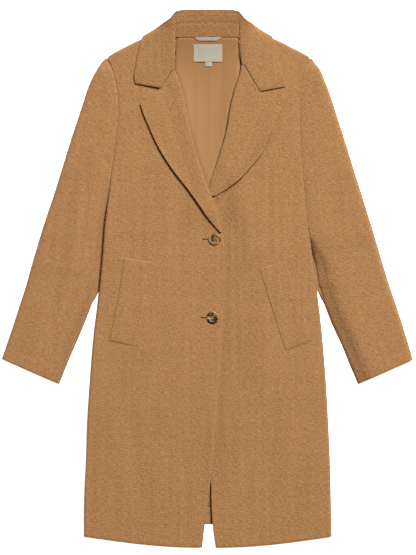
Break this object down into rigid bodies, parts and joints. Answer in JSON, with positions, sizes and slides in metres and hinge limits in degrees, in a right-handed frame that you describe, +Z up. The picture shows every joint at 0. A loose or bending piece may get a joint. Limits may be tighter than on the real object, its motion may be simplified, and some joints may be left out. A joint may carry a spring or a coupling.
{
  "type": "wool coat laid flat",
  "caption": "Knee-length single-breasted wool coat with notch lapels, welt pockets and set-in sleeves, laid flat on its back.",
  "frame": {"origin": "middle of the coat's outline on the surface it lies on", "axes": "+Z up out of the surface, +Y towards the collar, +X towards the wearer's left"},
  "size_m": [0.8216, 1.0728, 0.0322],
  "materials": {
    "coat_cloth": "slubby plain-weave wool, matt",
    "lining": "smooth satin",
    "label": "woven tape, blank",
    "button": "polished tortoiseshell pattern"
  },
  "bodies": {
    "root": {"back": "coat_cloth", "front_right": "coat_cloth", "front_left": "coat_cloth", "lapel_right": "coat_cloth", "lapel_left": "coat_cloth", "collar_fall": "coat_cloth", "collar_stand": "coat_cloth", "sleeve_top_right": "coat_cloth", "sleeve_under_right": "coat_cloth", "sleeve_top_left": "coat_cloth", "sleeve_under_left": "coat_cloth", "welt_right": "coat_cloth", "welt_left": "coat_cloth", "back_lining": "lining", "neck_label": "label", "size_tab": "label", "hanger_loop": "label", "button_upper": "button", "button_lower": "button"}
  },
  "joints": []
}
